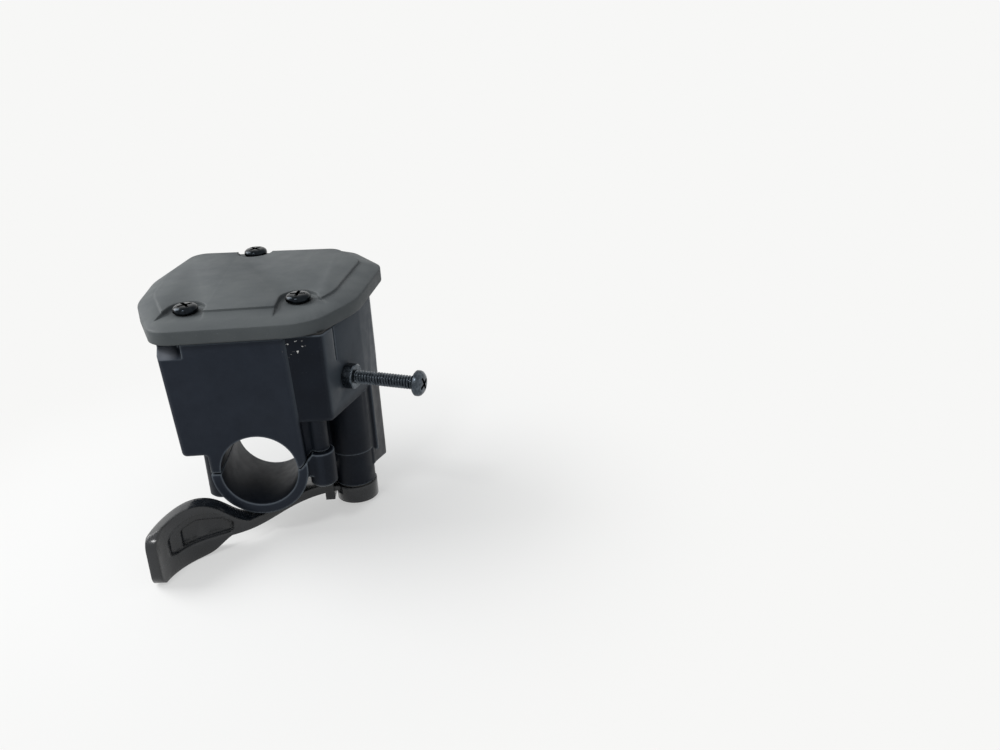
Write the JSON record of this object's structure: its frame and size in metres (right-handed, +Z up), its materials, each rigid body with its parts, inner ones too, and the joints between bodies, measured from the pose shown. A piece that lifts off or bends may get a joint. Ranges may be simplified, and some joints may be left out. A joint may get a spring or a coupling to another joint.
{
  "type": "thumb throttle lever",
  "caption": "Handlebar thumb throttle: clamp and cable housing with a screwed cover, a sprung thumb lever on a vertical pivot and a speed limiter screw.",
  "frame": {"origin": "on the handlebar's centre line, at the middle of the clamp's width", "axes": "+Y along the bar towards the middle of the vehicle, +X forward, +Z up, square to the cover"},
  "size_m": [0.0839, 0.0917, 0.0701],
  "materials": {
    "housing_coat": "satin black paint on die cast aluminium",
    "cover_plastic": "matte dark grey moulding",
    "lever_enamel": "gloss black enamel on die cast aluminium",
    "black_oxide": "black oxide",
    "zinc_steel": "zinc plate",
    "spring_steel": "drawn wire",
    "bush_bronze": "sintered bronze",
    "gasket_rubber": "matte",
    "washer_plastic": "natural nylon"
  },
  "bodies": {
    "body": {"housing": "housing_coat", "cover_plate": "cover_plastic", "cover_gasket": "gasket_rubber", "cover_screws": "black_oxide", "clamp_cap": "housing_coat", "clamp_screws": "black_oxide", "clamp_washers": "zinc_steel", "upper_bush": "bush_bronze", "lower_bush": "bush_bronze", "shaft_seal": "gasket_rubber", "thrust_washer": "washer_plastic", "limiter_lock_nut": "black_oxide", "return_spring": "spring_steel"},
    "lever": {"thumb_lever": "lever_enamel", "pivot_shaft": "zinc_steel", "cable_arm": "zinc_steel", "arm_washer": "zinc_steel", "arm_nut": "zinc_steel", "lever_washer": "zinc_steel", "lever_nut": "zinc_steel", "spring_collar": "washer_plastic"},
    "limiter": {"limiter_screw": "black_oxide"}
  },
  "joints": [
    {"name": "lever_hinge", "type": "hinge", "parent": "body", "child": "lever", "pos_m": [0.0244, 0.0085, 0], "axis": [0, 0, 1], "range_deg": [0, 38], "stiffness_Nm_per_rad": 0.15, "springref_deg": -40.11, "deforming": ["return_spring"]},
    {"name": "limiter_slide", "type": "slide", "parent": "body", "child": "limiter", "axis": [-0.9253, 0.3794, 0], "range_m": [-0.003, 0.005]}
  ]
}
